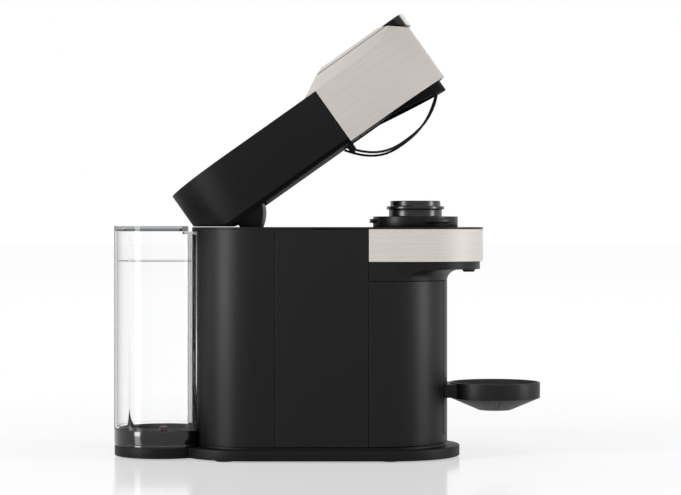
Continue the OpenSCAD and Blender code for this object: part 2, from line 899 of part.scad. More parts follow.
module arm_shell() {
    boss_y = hinge_drum_w / 2 + 0.3;
    color(black) opened() difference() {
        union() {
            difference() {
                arm_outer(arm_shell_z, body_r);
                difference() {
                    slab(arm_z - 1, arm_top - wall) rear_plan(seam_x + 1, body_r - wall);
                    heel_cut(heel_r - wall);
                }
            }
            intersection() {
                for (side = [-1, 1])
                    translate([hinge_x, side * (boss_y + wall * 4), hinge_z]) rotate([90, 0, 0])
                        cylinder(h = wall * 8, r = hinge_shaft_r + 3.5, center = true);
                arm_outer(arm_shell_z, body_r);
            }
        }
        hinge_axis_at() cylinder(h = 2 * pin_end() + 1, r = hinge_shaft_r + running, center = true);
    }
}

module arm_cover() {
    color(black) opened() difference() {
        union() {
            slab(arm_z, arm_shell_z - cover_step) rear_plan(seam_x - seam, body_r);
            slab(arm_z, arm_shell_z) rear_plan(seam_x - seam, body_r - wall * 0.6);
        }
        heel_cut(heel_r);
        slab(arm_z - 1, arm_shell_z + 1) translate([hinge_x - hinge_drum_r, -hinge_drum_w / 2 - clear])
            square([2 * hinge_drum_r + clear, hinge_drum_w + 2 * clear]);
        slab(arm_z - 1, arm_shell_z + 1) translate([brew_x, 0]) circle(liner_wall_r + seam);
    }
}

// --- Head ---

// Solid inside the head's outline, lowered and set in for the hollow
module head_solid(inset, low) {
    drop = inset * 1.2;
    front_x = brew_x + body_r;
    intersection() {
        slab(low, far) front_plan(cap_x, brew_x, body_r - inset);
        side_slab([
            [seam_x + seam - inset * 2, 0], [front_x + far, 0],
            [front_x + far, arm_top - drop - cap_slope * far],
            [cap_front_x, cap_top - drop], [cap_rear_x, cap_top - drop], [cap_x, arm_top - drop],
            [seam_x + seam - inset * 2, arm_top - drop]
        ], far);
        rotate([90, 0, 90]) linear_extrude(far) polygon([
            for (s = [1, -1])
                for (p = s > 0 ? side_bevel(drop) : reverse(side_bevel(drop))) [s * p[0], p[1]]
        ]);
    }
}

function side_bevel(drop) = [
    [body_r, 0], [body_r, arm_top - drop], [cap_knee_w / 2, arm_top + cap_knee_h - drop],
    [cap_flat_w / 2, cap_top - drop]
];
function reverse(list) = [for (i = [len(list) - 1:-1:0]) list[i]];

module head_cover() {
    color(silver) opened() difference() {
        union() {
            difference() {
                head_solid(0, arm_z);
                head_solid(wall, arm_z - 1);
                translate([cap_front_x - 1, -lever_w / 2 - clear, arm_top])
                    cube([8, lever_w + 2 * clear, 2 * cap_h]);
            }
            for (side = [-1, 1])
                translate([pin_x, side * (lever_w + boss_t + 2 * clear) / 2, 0])
                    slab(pin_z - boss_l / 2, cap_top - wall) square([boss_l, boss_t], center = true);
        }
        translate([pin_x, 0, pin_z]) rotate([90, 0, 0])
            cylinder(h = lever_pin_l + 2 * slide_gap, r = lever_pin_r + running, center = true);
        translate([button_x, 0, arm_top]) cylinder(h = 2 * cap_h, r = button_r + slide_gap);
    }
}

function bevel_z(x) = cap_top - (x - cap_front_x) * cap_slope;

module lever_outline(w) {
    root_x = cap_front_x + 0.3;
    end_x = brew_x + lever_front_r + 2;
    thick_x = cap_front_x + 6.5;
    side_slab([
        [root_x, lever_top], [root_x, pin_z - 3], [thick_x - 0.5, pin_z - 3],
        [thick_x - 0.5, bevel_z(thick_x) + lever_gap], [end_x, bevel_z(end_x) + lever_gap],
        [end_x, lever_top]
    ], w);
}

module lever() {
    color(black) opened() union() {
        intersection() {
            lever_outline(lever_w);
            slab(arm_top - cap_h, far) translate([brew_x, 0]) circle(lever_front_r - lever_tip_t);
        }
        translate([pin_x, 0, pin_z]) rotate([90, 0, 0])
            cylinder(h = lever_pin_l, r = lever_pin_r, center = true);
    }
}

module lever_tip() {
    color(silver) opened() intersection() {
        lever_outline(lever_w);
        slab(arm_top - cap_h, far) translate([brew_x, 0])
            ring_plan(lever_front_r, lever_front_r - lever_tip_t + running);
    }
}

module head_liner() {
    edge_x = brew_x - liner_back;
    front_x = brew_x + liner_r;
    color(black) opened() union() {
        slab(arm_z, arm_z + wall) difference() {
            front_plan(seam_x + seam + eps, brew_x, body_r - wall - running);
            translate([brew_x, 0]) circle(liner_wall_r - 1);
        }
        translate([brew_x, 0, 0]) slab(arm_z, frame_z) ring_plan(liner_wall_r, liner_wall_r - wall);
        intersection() {
            slab(arm_z - liner_drop, arm_z + 1)
                translate([brew_x, 0]) ring_plan(liner_r, liner_wall_r - wall);
            side_slab([[edge_x, arm_z + 1], [edge_x, arm_z], [front_x, arm_z - liner_drop],
                       [front_x, arm_z + 1]], far);
        }
    }
}

module injector_housing() {
    color(black) opened() union() {
        slab(frame_z, frame_z + frame_t) difference() {
            front_plan(brew_x - liner_wall_r, brew_x, body_r - wall - running * 2);
            translate([brew_x, 0]) circle(injector_shaft_r + running);
        }
        translate([brew_x, 0, frame_z + frame_t - eps]) difference() {
            cylinder(h = hub_h, r = injector_shaft_r + 4);
            translate([0, 0, -1]) cylinder(h = hub_h - 2, r = injector_shaft_r + running);
        }
        slab(frame_z + frame_t - eps, stem_low - button_travel - slide_gap)
            translate([button_x, 0]) circle(3);
    }
}

module injector_plate() {
    color(black) opened() translate([brew_x, 0, 0]) difference() {
        union() {
            slab(inject_z, inject_top) circle(flange_r);
            slab(inject_top - eps, frame_z + frame_t + 8) circle(injector_shaft_r);
        }
        slab(inject_z - 1, inject_z + injector_t / 2) circle(needle_r + running / 2);
    }
}

module injector_needle() {
    color(steel) opened() translate([brew_x, 0, inject_z + injector_t / 2 - needle_l]) union() {
        cylinder(h = 2, r1 = 0.3, r2 = needle_r);
        translate([0, 0, 2 - eps]) cylinder(h = needle_l - 2 + eps, r = needle_r);
    }
}

module injector_seal() {
    color(rubber) opened() translate([brew_x, 0, 0]) slab(inject_z - seal_h, inject_z)
        ring_plan(ring_r + clear + seal_w, ring_r + clear);
}

module locking_ring() {
    ring_out = liner_wall_r - wall - 0.3;
    color(steel) opened() translate([brew_x, 0, 0]) union() {
        slab(lock_z, lock_z + lock_h) ring_plan(ring_out, lock_r);
        slab(lock_z, lock_z + tab_t) rotate([0, 0, 60]) lugs_at() arc_plan(lock_r + 1, tab_r, lug_span);
    }
}

module brew_button() {
    button_low = cap_top - 4;
    color(black) opened() translate([button_x, 0, button_low])
        cylinder(h = cap_top + 0.8 - button_low, r = button_r);
    color(black) opened() translate([button_x, 0, 0]) slab(stem_low, button_low + 0.1) circle(button_r / 2);
}

module light_ring() {
    color(white) opened() translate([button_x, 0, 0]) slab(cap_top, cap_top + 0.5)
        ring_plan(button_r + 0.5 + light_w, button_r + 0.5);
}

module ejector_hoop() {
    steps = 10;
    low_x = brew_x - 4;
    low_z = deck_z - hoop_drop;
    rear_x0 = seam_x - 7;
    function dip(x) = x > low_x
        ? low_z + hoop_front_rise * pow((x - low_x) / (brew_x + hoop_r - low_x), 2.5)
        : low_z + (arm_z - 1 - low_z) * pow((low_x - x) / (low_x - rear_x0), 2.5);
    rail = [for (i = [0:steps - 1]) let (x = rear_x0 + (brew_x - rear_x0) * i / steps) [x, -hoop_r, dip(x)]];
    round = [
        for (i = [0:2 * steps])
            let (a = 180 * i / (2 * steps) - 90, x = brew_x + hoop_r * cos(a)) [x, hoop_r * sin(a), dip(x)]
    ];
    back = [for (p = reverse(rail)) [p[0], -p[1], p[2]]];
    foot = [rear_x0 - 0.4, -hoop_r, arm_z - 0.55];
    far_foot = [foot[0], hoop_r, foot[2]];
    color(black) opened() rod(concat([foot], rail, round, back, [far_foot]), hoop_rod_r);
}

// --- Inner parts ---

module flow_meter() {
    color(white) translate(meter_at) slab(body_z, body_z + meter_h) circle(meter_r);
}

module pump() {
    color(steel) translate(pump_at) union() {
        slab(body_z, body_z + pump_h) circle(pump_r);
        slab(body_z + pump_h - eps, pump_top) circle(outlet_r);
    }
}

module water_heater() {
    color(steel) translate(heater_at) union() {
        slab(body_z, body_z + heater_h) circle(heater_r);
        slab(body_z + heater_h - eps, heater_top) circle(outlet_r);
    }
}

module control_board() {
    low = body_z + board_up;
    color(green) union() {
        translate([board_x, -board_w / 2, low]) cube([board_t, board_w, board_h]);
        for (y = [-1, 1])
            for (z = [low + standoff_in, low + board_h - standoff_in])
                translate([board_x, y * (board_w / 2 - standoff_in), z]) rotate([0, 90, 0])
                    cylinder(h = standoff_l + board_t, r = standoff_r);
    }
}

module water_hose() {
    steps = 12;
    bend = [
        for (i = [0:steps])
            let (a = 180 * i / steps, t = (1 - cos(a)) / 2)
            [pump_at[0] + (heater_at[0] - pump_at[0]) * t, pump_at[1] + (heater_at[1] - pump_at[1]) * t,
             pump_top + (heater_top - pump_top) * t + unit_gap + hose_rise * sin(a)]
    ];
    color(white) rod(bend, hose_r);
}

module head_hose() {
    start_x = hinge_x + hinge_drum_r + hose_arch;
    end_z = frame_z + frame_t + hub_h;
    steps = 14;
    bend = [
        for (i = [0:steps])
            let (t = i / steps, a = 180 * t)
            [start_x + (brew_x - start_x) * (1 - cos(a)) / 2, hose_bow * sin(a),
             arm_shell_z + hose_r + slide_gap + (end_z - arm_shell_z) * (1 - cos(a)) / 2 + hose_arch * sin(a)]
    ];
    color(white) opened() rod(bend, hose_r);
}

base_plate();
rubber_feet();
base_screws();
rear_shell();
side_panel_left();
side_panel_right();
top_deck();
bulkhead();
brew_housing();
silver_band();
collar();
drum_bearing();
motor_stator();
motor_cover();
coffee_spout();
tank_dock();
water_tank();
tank_foot();
tank_valve();
tank_lid();
flow_meter();
pump();
water_heater();
control_board();
water_hose();
cord_gland();
hinge_drum();
hinge_shaft();
capsule_holder();
motor_rotor();
container_shell();
capsule_bin();
front_rail();
support_bracket();
drip_bowl();
cup_grid();
arm_shell();
arm_cover();
head_cover();
head_liner();
ejector_hoop();
injector_housing();
head_hose();
light_ring();
locking_ring();
lever();
lever_tip();
brew_button();
injector_plate();
injector_needle();
injector_seal();
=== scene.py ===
"""Dresses the pod coffee machine: bevelled mouldings, ribbed silver, clear tank and a studio."""

import json
import math

import bpy
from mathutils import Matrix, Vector

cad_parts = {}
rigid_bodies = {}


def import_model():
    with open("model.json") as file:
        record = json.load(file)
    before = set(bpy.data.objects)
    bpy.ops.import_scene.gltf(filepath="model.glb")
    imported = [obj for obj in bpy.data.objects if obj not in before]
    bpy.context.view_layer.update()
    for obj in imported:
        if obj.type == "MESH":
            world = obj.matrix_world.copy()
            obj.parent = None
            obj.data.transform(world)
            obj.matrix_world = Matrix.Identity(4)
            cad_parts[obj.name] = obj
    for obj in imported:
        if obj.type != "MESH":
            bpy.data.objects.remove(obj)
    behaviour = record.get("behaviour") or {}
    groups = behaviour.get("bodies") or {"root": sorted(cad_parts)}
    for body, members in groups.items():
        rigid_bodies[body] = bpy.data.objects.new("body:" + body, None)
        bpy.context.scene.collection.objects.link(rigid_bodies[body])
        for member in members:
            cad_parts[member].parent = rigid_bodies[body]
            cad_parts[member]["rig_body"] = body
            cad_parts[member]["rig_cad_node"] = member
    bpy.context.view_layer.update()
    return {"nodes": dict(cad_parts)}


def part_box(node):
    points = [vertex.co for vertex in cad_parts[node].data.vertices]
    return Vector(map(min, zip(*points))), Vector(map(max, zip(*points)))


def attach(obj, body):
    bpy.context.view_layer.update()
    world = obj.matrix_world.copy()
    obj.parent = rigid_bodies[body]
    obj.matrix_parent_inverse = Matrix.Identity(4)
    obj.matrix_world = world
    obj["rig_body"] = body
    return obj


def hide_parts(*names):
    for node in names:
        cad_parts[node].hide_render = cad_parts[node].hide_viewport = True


bl_info = {
    "name": "Pod coffee machine",
    "version": (1, 0, 0),
    "blender": (4, 5, 0),
    "location": "View3D > Sidebar > Coffee machine",
    "description": "Finishes the pieces of a pod coffee machine and lights them in a studio",
    "category": "Object",
}

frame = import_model()
MM = 0.001
OPEN_ANGLE = math.radians(35.3)
HINGE = (-98.7 * MM, 0, 245 * MM)
# The raised head's upward direction, and the direction along its arm
HEAD_UP = (-math.sin(OPEN_ANGLE), 0, math.cos(OPEN_ANGLE))
HEAD_ALONG = (math.cos(OPEN_ANGLE), 0, math.sin(OPEN_ANGLE))
# Distance along the raised arm at which the lever's metal strip starts
STRIP_FROM = 314.1 * MM

# The fold in the head cover's flanks, on the shut head
CREASE_Z = 304.4 * MM
CREASE_Y = 20 * MM
CREASE_OUT = 0.6 * MM
GROOVE_W = 0.6 * MM
GROOVE_IN = 0.5 * MM
ON_LEVEL = 0.01 * MM

# The ejector hoop's rear legs, on the shut head
LEG_X = 40.1 * MM
LEG_Y = 51.5 * MM
LEG_TOP = 232.5 * MM
LEG_LOW = 222.5 * MM
LEG_L = 4.0 * MM
LEG_W = 3.0 * MM
LEG_LEAN = 1.0 * MM
LEG_EDGE = 0.6 * MM

# The tank's fill line, its distance from the tank's outside and from the body
LINE_H = 0.5 * MM
LINE_T = 0.25 * MM
LINE_INSET = 3.0 * MM
LINE_NOTCH = 5.0 * MM
LINE_STEPS = 144

# Cuts that make a groove in the band, as shares of the pitch, and the depth of skin they move
RIB_CUTS = (-0.25, 0, 0.25)
RIB_NEAR = 0.05
RIB_SKIN = 0.3 * MM

# Loose triangles of a frame node are merged within these limits
MERGE_WITHIN = 0.002 * MM
FLAT_WITHIN = math.radians(0.3)

# The body, the band and the tank as the frame has them
BAND_LOW, BAND_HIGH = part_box("silver_band")
TANK_LOW, TANK_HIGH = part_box("water_tank")
REAR_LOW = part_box("rear_shell")[0]
BODY_R = BAND_HIGH.y
BREW_X = BAND_HIGH.x - BODY_R
REAR_X = REAR_LOW.x + BODY_R
TANK_R = (TANK_HIGH.y - TANK_LOW.y) / 2
TANK_X = TANK_LOW.x + TANK_R

# The studio's soft boxes: place, width and height in metres, and power in watts
SOFT_BOXES = {
    "front_top": ((0.3, -1.7, 2.2), (1.6, 1.2), 14),
    "left_wall": ((-2.0, -1.15, 0.45), (0.55, 1.9), 66),
    "right_wall": ((2.05, -0.44, 0.45), (0.4, 1.9), 42),
    "back_top": ((-0.95, 1.5, 1.7), (1.2, 1.0), 9),
}
SOFT_BOX_AIM = (0, 0, 0.22)
WORLD_LIGHT = 0.26
FLOOR_SIZE = 60
FLOOR_GLOSS = 0.36
FLOOR_MATT = 0.3
CAMERA_PLACE = (13.5 * MM, -2224 * MM, 229 * MM)
CAMERA_LENS = 116.6
CAMERA_SHIFT = -0.0278
CAMERA_REACH = 100.0


# --- Sizes and colours a user may change ---


class MachineSizes(bpy.types.PropertyGroup):
    """Sizes of the finish"""

    edge: bpy.props.FloatProperty(
        name="Moulding edge", description="Rounding of a moulded edge",
        default=0.7 * MM, unit="LENGTH")
    fine_edge: bpy.props.FloatProperty(
        name="Fine edge", description="Rounding of a metal or a small edge",
        default=0.35 * MM, unit="LENGTH")
    base_edge: bpy.props.FloatProperty(
        name="Base edge", description="Rounding of the foot plate's edge",
        default=2.0 * MM, unit="LENGTH")
    rib_pitch: bpy.props.FloatProperty(
        name="Rib pitch", description="Distance between two ribs of the silver band",
        default=2.2 * MM, unit="LENGTH")
    rib_depth: bpy.props.FloatProperty(
        name="Rib depth", description="Depth of the grooves between the ribs",
        default=0.2 * MM, unit="LENGTH")
    fill_z: bpy.props.FloatProperty(
        name="Fill line", description="Height of the tank's fill line above the table",
        default=196.3 * MM, unit="LENGTH")


class MachineColours(bpy.types.PropertyGroup):
    """Colours of the finish"""

    body: bpy.props.FloatVectorProperty(
        name="Body black", description="Satin black of the mouldings",
        subtype="COLOR", size=3, default=(0.0033, 0.0033, 0.0035))
    silver: bpy.props.FloatVectorProperty(
        name="Silver", description="Warm brushed silver of the head and the band",
        subtype="COLOR", size=3, default=(0.51, 0.476, 0.448))
    steel: bpy.props.FloatVectorProperty(
        name="Steel", description="Plain steel of shafts, screws and grid",
        subtype="COLOR", size=3, default=(0.42, 0.42, 0.43))
    valve: bpy.props.FloatVectorProperty(
        name="Valve", description="Dark red of the tank's valve",
        subtype="COLOR", size=3, default=(0.055, 0.008, 0.008))
    floor: bpy.props.FloatVectorProperty(
        name="Floor", description="Pale floor and background",
        subtype="COLOR", size=3, default=(0.92, 0.92, 0.92))


# --- Shader maths ---


class Wire:
    """A value in a material, which arithmetic turns into Math nodes"""

    def __init__(self, tree, socket):
        self.tree = tree
        self.socket = socket

    def math(self, operation, first, second):
        return node(self.tree, "Math", {"operation": operation}, {0: first, 1: second})

    def __add__(self, other):
        return self.math("ADD", self, other)

    def __radd__(self, other):
        return self.math("ADD", other, self)

    def __sub__(self, other):
        return self.math("SUBTRACT", self, other)

    def __rsub__(self, other):
        return self.math("SUBTRACT", other, self)

    def __mul__(self, other):
        return self.math("MULTIPLY", self, other)

    def __rmul__(self, other):
        return self.math("MULTIPLY", other, self)


def node(tree, kind, settings=None, inputs=None, output=0):
    """A node of a kind. Sockets are named, or numbered where a node has two of one name"""
    made = tree.nodes.new("ShaderNode" + kind)
    for key, value in (settings or {}).items():
        setattr(made, key, value)
    for key, value in (inputs or {}).items():
        if isinstance(value, Wire):
            tree.links.new(value.socket, made.inputs[key])
        else:
            made.inputs[key].default_value = value
    return Wire(tree, made.outputs[output])


def new_material(name):
    material = bpy.data.materials.new(name)
    material.use_nodes = True
    material.node_tree.nodes.clear()
    return material, material.node_tree


def finish_material(tree, shader):
    out = tree.nodes.new("ShaderNodeOutputMaterial")
    tree.links.new(shader.socket, out.inputs["Surface"])


def object_space(tree, turn=0.0, scale=(1, 1, 1)):
    """Coordinates of the piece, turned about Y and then stretched"""
    place = node(tree, "TexCoord", output="Object")
    turned = node(tree, "Mapping", {}, {"Vector": place, "Rotation": (0, turn, 0)})
    return node(tree, "Mapping", {}, {"Vector": turned, "Scale": scale})


def noise(tree, place, scale, detail=3.0, rough=0.55):
    return node(tree, "TexNoise", {}, {
        "Vector": place, "Scale": scale, "Detail": detail, "Roughness": rough})


def bump(tree, height, strength, distance):
    return node(tree, "Bump", {}, {"Strength": strength, "Distance": distance, "Height": height})


def colour_mix(tree, factor, first, second):
    """A mix of two colours, each of which may be a value of the tree"""
    first, second = (c if isinstance(c, Wire) else (*c, 1) for c in (first, second))
    return node(tree, "Mix", {"data_type": "RGBA"}, {0: factor, 6: first, 7: second}, 2)


def toned(colour, factor):
    """A colour made darker, or paler if the factor is over 1"""
    return [min(1.0, c * factor) for c in colour]


def measured_along(tree, direction):
    """Distance of a point along a direction, in the piece's own coordinates"""
    place = node(tree, "TexCoord", output="Object")
    return node(tree, "VectorMath", {"operation": "DOT_PRODUCT"}, {0: place, 1: direction}, "Value")


def moulded_plastic(name, colour, rough, grain=900.0, depth=0.02, spread=0.06, coat=0.0,
                    shine=0.16):
    """Moulded plastic: a fine spark-eroded grain, with gloss that drifts a little"""
    material, tree = new_material(name)
    place = object_space(tree)
    fine = noise(tree, place, grain, 4.0, 0.6)
    broad = noise(tree, place, 9.0, 2.0, 0.5)
    shade = colour_mix(tree, broad, toned(colour, 0.9), toned(colour, 1.12))
    gloss = rough + (broad - 0.5) * spread + (fine - 0.5) * (spread * 0.5)
    shader = node(tree, "BsdfPrincipled", {}, {
        "Base Color": shade, "Roughness": gloss, "Specular IOR Level": shine,
        "Coat Weight": coat, "Coat Roughness": 0.08,
        "Normal": bump(tree, fine, 0.35, depth * MM)})
    finish_material(tree, shader)
    return material


def groove_shade_mask(tree):
    """Painted shade for the groove along the head cover's flanks: 1 in the groove, fading to 0
    beside it
    """
    level = Vector(HEAD_UP).dot(Vector(HINGE)) + CREASE_Z - HINGE[2]
    height = measured_along(tree, HEAD_UP)
    gap = node(tree, "Math", {"operation": "ABSOLUTE"}, {0: height - level})
    return node(tree, "MapRange", {"interpolation_type": "SMOOTHSTEP"}, {
        "Value": gap, "From Min": GROOVE_W * 0.6, "From Max": GROOVE_W * 1.3,
        "To Min": 1, "To Max": 0})


def brushed_metal(name, colour, rough, turn=0.0, across=1900.0, along=14.0, metal=0.12,
                  depth=0.012, paint_groove_shade=False):
    """Metal with fine brush lines that run level round the piece"""
    material, tree = new_material(name)
    fine_place = object_space(tree, turn, (along, along, across))
    lines = noise(tree, fine_place, 1.0, 3.0, 0.65)
    broad_place = object_space(tree, turn, (along / 4, along / 4, across / 6))
    coarse = noise(tree, broad_place, 1.0, 2.0, 0.5)
    tone = (lines - 0.5) * 0.5 + (coarse - 0.5) * 0.5 + 0.5
    shade = colour_mix(tree, tone, toned(colour, 0.84), toned(colour, 1.14))
    # Painted shade: the silver is darkened in the head cover's flank groove
    if paint_groove_shade:
        shade = colour_mix(tree, groove_shade_mask(tree), shade, toned(colour, 0.3))
    shader = node(tree, "BsdfPrincipled", {}, {
        "Base Color": shade, "Metallic": metal, "Roughness": rough + (lines - 0.5) * 0.16,
        "Normal": bump(tree, lines, 0.3, depth * MM)})
    finish_material(tree, shader)
    return material


def clear_plastic(name, tint, edge_shade_colour, rough=0.01):
    """Clear moulded plastic with faint flow marks, and painted shade that turns it grey where it is
    seen edge on, in place of the darkening that refraction in its wall gives
    """
    material, tree = new_material(name)
    flow = noise(tree, object_space(tree, 0.0, (1, 1, 0.25)), 18.0, 1.0, 0.4)
    edge_on = node(tree, "LayerWeight", {}, {"Blend": 0.5}, "Facing")
    edge_on = node(tree, "Math", {"operation": "POWER"}, {0: edge_on, 1: 4.0})
    clear = node(tree, "BsdfPrincipled", {}, {
        "Base Color": colour_mix(tree, flow, tint, toned(tint, 0.985)),
        "Roughness": rough, "IOR": 1.2, "Transmission Weight": 1.0,
        "Normal": bump(tree, flow, 0.03, 0.2 * MM)})
    # Painted shade: a grey matt surface mixed in where the plastic is seen edge on
    grey = node(tree, "BsdfDiffuse", {}, {"Color": (*edge_shade_colour, 1)})
    finish_material(tree, node(tree, "MixShader", {}, {0: edge_on, 1: clear, 2: grey}))
    return material


def lever_tip_finish(name, black, silver):
    """Black plastic with a straight metal strip let into its front end"""
    material, tree = new_material(name)
    along = measured_along(tree, HEAD_ALONG)
    strip = node(tree, "Math", {"operation": "GREATER_THAN"}, {0: along, 1: STRIP_FROM})
    lines = noise(tree, object_space(tree, OPEN_ANGLE, (14, 14, 1900)), 1.0)
    shader = node(tree, "BsdfPrincipled", {}, {
        "Base Color": colour_mix(tree, strip, black, toned(silver, 1.25)),
        "Metallic": strip * 0.6, "Roughness": 0.34 + lines * 0.1, "Specular IOR Level": 0.35})
    finish_material(tree, shader)
    return material


def wound_copper(name, colour):
    """Copper windings as close lines"""
    material, tree = new_material(name)
    place = object_space(tree, 0.0, (900, 900, 60))
    wire = node(tree, "TexWave", {"bands_direction": "X"}, {"Vector": place, "Scale": 1.0}, "Fac")
    shade = colour_mix(tree, wire, toned(colour, 0.5), colour)
    shader = node(tree, "BsdfPrincipled", {}, {
        "Base Color": shade, "Metallic": 1.0, "Roughness": 0.4 + (1 - wire) * 0.15,
        "Normal": bump(tree, wire, 0.5, 0.1 * MM)})
    finish_material(tree, shader)
    return material


def circuit_board(name, colour):
    """Printed board with paler tracks"""
    material, tree = new_material(name)
    cells = node(tree, "TexBrick", {}, {
        "Vector": object_space(tree, 0.0, (1, 120, 120)), "Scale": 1.0,
        "Mortar Size": 0.06}, "Fac")
    shade = colour_mix(tree, cells, colour, toned(colour, 2.4))
    shader = node(tree, "BsdfPrincipled", {}, {
        "Base Color": shade, "Roughness": 0.4 + cells * 0.1})
    finish_material(tree, shader)
    return material


def light_guide(name, colour):
    """Milky light guide that isn't lit"""
    material, tree = new_material(name)
    cloud = noise(tree, object_space(tree), 300.0, 2.0, 0.5)
    shade = colour_mix(tree, cloud, toned(colour, 0.92), colour)
    shader = node(tree, "BsdfPrincipled", {}, {
        "Base Color": shade, "Roughness": 0.3 + cloud * 0.1, "Subsurface Weight": 0.2})
    finish_material(tree, shader)
    return material


def make_materials(colours):
    black = tuple(colours.body)
    silver = tuple(colours.silver)
    steel = tuple(colours.steel)
    return {
        "body": moulded_plastic("satin_black", black, 0.42),
        "inner": moulded_plastic(
            "inner_black", toned(black, 0.8), 0.6, grain=700.0, depth=0.03, shine=0.02),
        "arm": moulded_plastic("arm_black", toned(black, 0.8), 0.5, shine=0.12),
        "gloss": moulded_plastic(
            "gloss_black", toned(black, 0.7), 0.14, grain=300.0, depth=0.004, spread=0.03,
            coat=0.6),
        "collar": moulded_plastic(
            "collar_black", toned(black, 0.9), 0.36, grain=800.0, depth=0.01),
        "holder": moulded_plastic(
            "holder_black", black, 0.26, grain=300.0, depth=0.004, spread=0.03, shine=0.4),
        "cup": moulded_plastic("cup_support_black", toned(black, 1.7), 0.46),
        # The head's silver carries painted shade in its flank groove
        "head_silver": brushed_metal(
            "brushed_head", toned(silver, 0.86), 0.55, turn=OPEN_ANGLE, paint_groove_shade=True),
        "band_silver": brushed_metal("brushed_band", silver, 0.55),
        "tip": lever_tip_finish("lever_tip_finish", black, silver),
        "steel": brushed_metal(
            "turned_steel", steel, 0.3, across=700.0, along=20.0, metal=1.0),
        "dark_steel": brushed_metal(
            "dark_steel", (0.02, 0.02, 0.021), 0.5, across=700.0, along=20.0, metal=0.3),
        # The tank and the lid carry painted shade along their edges
        "clear": clear_plastic("clear_tank", (0.995, 0.997, 1.0), (0.06, 0.06, 0.065)),
        "lid": clear_plastic("smoky_lid", (0.42, 0.43, 0.44), (0.08, 0.08, 0.08)),
        "rubber": moulded_plastic(
            "soft_rubber", (0.015, 0.015, 0.015), 0.82, grain=500.0, depth=0.05, spread=0.1),
        "valve": moulded_plastic("valve_red", tuple(colours.valve), 0.35, grain=400.0),
        "white": moulded_plastic("white_moulding", (0.7, 0.7, 0.68), 0.45, grain=400.0),
        "copper": wound_copper("copper_windings", (0.5, 0.24, 0.12)),
        "board": circuit_board("board_green", (0.02, 0.1, 0.045)),
        "light": light_guide("light_guide", (0.75, 0.75, 0.72)),
    }


# --- Work on meshes ---


def only(piece):
    """Makes a piece the only one selected, and the active one"""
    bpy.ops.object.select_all(action="DESELECT")
    piece.hide_set(False)
    piece.select_set(True)
    bpy.context.view_layer.objects.active = piece


def paint(piece, material):
    piece.data.materials.clear()
    piece.data.materials.append(material)


def smooth(piece, degrees=32.0):
    only(piece)
    bpy.ops.object.shade_smooth_by_angle(angle=math.radians(degrees))


def round_edges(piece, width, degrees=34.0, segments=3):
    """Rounds every edge that is sharper than an angle"""
    only(piece)
    rounding = piece.modifiers.new("rounding", "BEVEL")
    rounding.width = width
    rounding.segments = segments
    rounding.limit_method = "ANGLE"
    rounding.angle_limit = math.radians(degrees)
    bpy.ops.object.modifier_apply(modifier=rounding.name)


def moulding(node_name, material, width):
    """A copy of a frame node with its loose triangles merged and its edges rounded"""
    source = frame["nodes"][node_name]
    body = source["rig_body"]
    only(source)
    bpy.ops.object.duplicate()
    piece = bpy.context.view_layer.objects.active
    piece.name = node_name + "_moulding"
    piece.parent = None
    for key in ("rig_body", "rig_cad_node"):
        del piece[key]
    only(piece)
    bpy.ops.object.mode_set(mode="EDIT")
    bpy.ops.mesh.select_all(action="SELECT")
    bpy.ops.mesh.remove_doubles(threshold=MERGE_WITHIN)
    bpy.ops.mesh.dissolve_limited(angle_limit=FLAT_WITHIN)
    bpy.ops.object.mode_set(mode="OBJECT")
    if width > 0:
        round_edges(piece, width)
    smooth(piece)
    paint(piece, material)
    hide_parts(node_name)
    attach(piece, body)
    return piece


def pick(piece, test):
    """Goes into edit mode with only the vertices selected that pass a test"""
    only(piece)
    bpy.ops.object.mode_set(mode="EDIT")
    bpy.ops.mesh.select_mode(type="VERT")
    bpy.ops.mesh.select_all(action="DESELECT")
    bpy.ops.object.mode_set(mode="OBJECT")
    for vertex in piece.data.vertices:
        vertex.select = test(vertex.co)
    bpy.ops.object.mode_set(mode="EDIT")


def swing_open(piece):
    """Swings a piece that was made on the shut head up to where the raised head has it"""
    only(piece)
    bpy.ops.object.mode_set(mode="EDIT")
    bpy.ops.mesh.select_all(action="SELECT")
    bpy.ops.transform.rotate(value=OPEN_ANGLE, orient_axis="Y", center_override=HINGE)
    bpy.ops.object.mode_set(mode="OBJECT")


# --- Pieces ---


def sizes():
    return bpy.context.scene.machine_sizes


class MachineMaterials:
    """The finishes, made once by the first operator that needs them"""

    made = None

    @classmethod
    def get(cls):
        if cls.made is None:
            cls.made = make_materials(bpy.context.scene.machine_colours)
        return cls.made


class MACHINE_OT_body(bpy.types.Operator):
    """Finishes the foot plate, the shells, the panels and the deck"""

    bl_idname = "machine.body"
    bl_label = "Body"

    def execute(self, context):
        finish = MachineMaterials.get()
        fine = sizes().fine_edge
        moulding("base_plate", finish["arm"], sizes().base_edge)
        for name in ("rear_shell", "side_panel_left", "side_panel_right", "top_deck",
                     "container_shell", "front_rail"):
            moulding(name, finish["body"], fine)
        moulding("hinge_drum", finish["arm"], sizes().edge)
        moulding("brew_housing", finish["body"], fine)
        moulding("coffee_spout", finish["collar"], fine)
        return {"FINISHED"}


